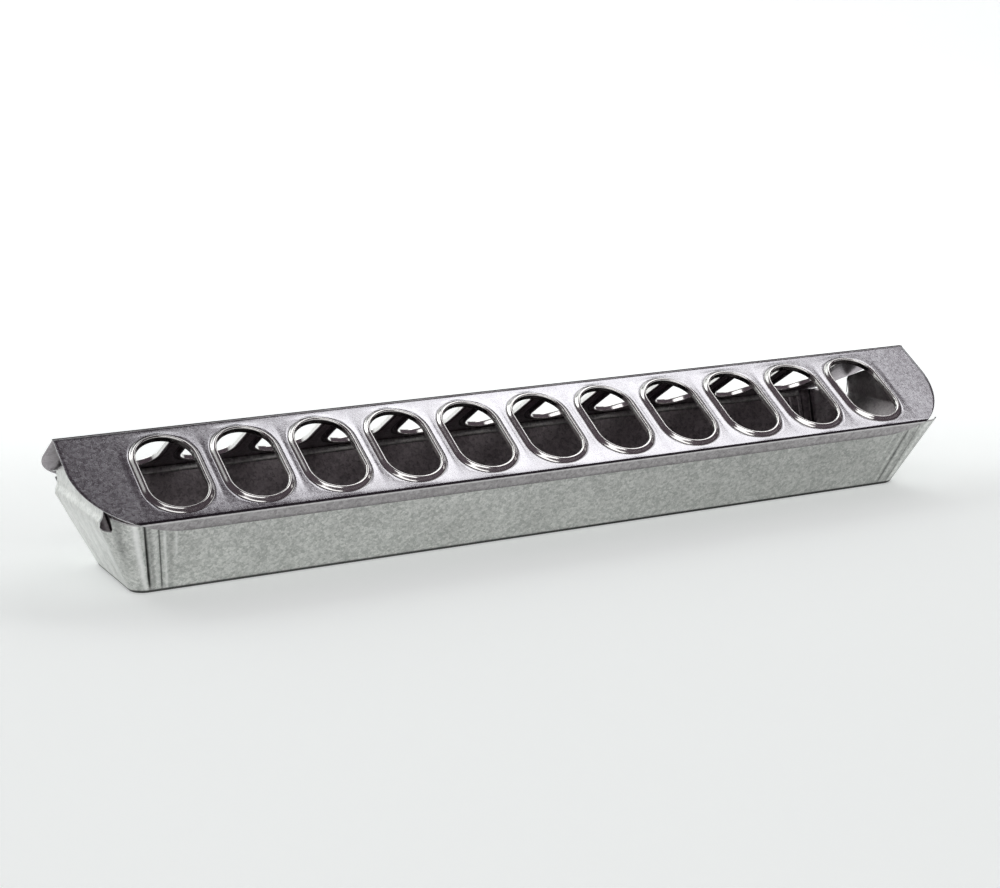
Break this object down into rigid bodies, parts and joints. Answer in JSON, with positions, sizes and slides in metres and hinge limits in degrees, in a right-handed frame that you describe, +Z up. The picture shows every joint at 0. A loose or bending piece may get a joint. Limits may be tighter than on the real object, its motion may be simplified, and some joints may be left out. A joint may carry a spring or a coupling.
{
  "type": "trough feeder",
  "caption": "Long galvanised trough feeder: flared folded tray with gabled end tabs, under a gable lid with rolled-rim feed holes that slides off along its length.",
  "frame": {"origin": "centre of the floor's underside, where the feeder stands", "axes": "+X along the trough, -Y the front, +Z up"},
  "size_m": [0.61, 0.1324, 0.0877],
  "materials": {
    "tray_steel": "galvanised, fine spangle, satin, slightly dulled",
    "lid_steel": "galvanised, fine spangle, satin, the rolled rims burnished bright"
  },
  "bodies": {
    "tray": {"tray_floor": "tray_steel", "tray_front_wall": "tray_steel", "tray_rear_wall": "tray_steel", "tray_left_end": "tray_steel", "tray_right_end": "tray_steel", "tray_corner_pleats": "tray_steel"},
    "lid": {"lid_front_slope": "lid_steel", "lid_rear_slope": "lid_steel", "lid_front_rail": "lid_steel", "lid_rear_rail": "lid_steel"}
  },
  "joints": [
    {"name": "lid_slide", "type": "slide", "parent": "tray", "child": "lid", "axis": [1, 0, 0], "range_m": [-0.62, 0.62]}
  ]
}
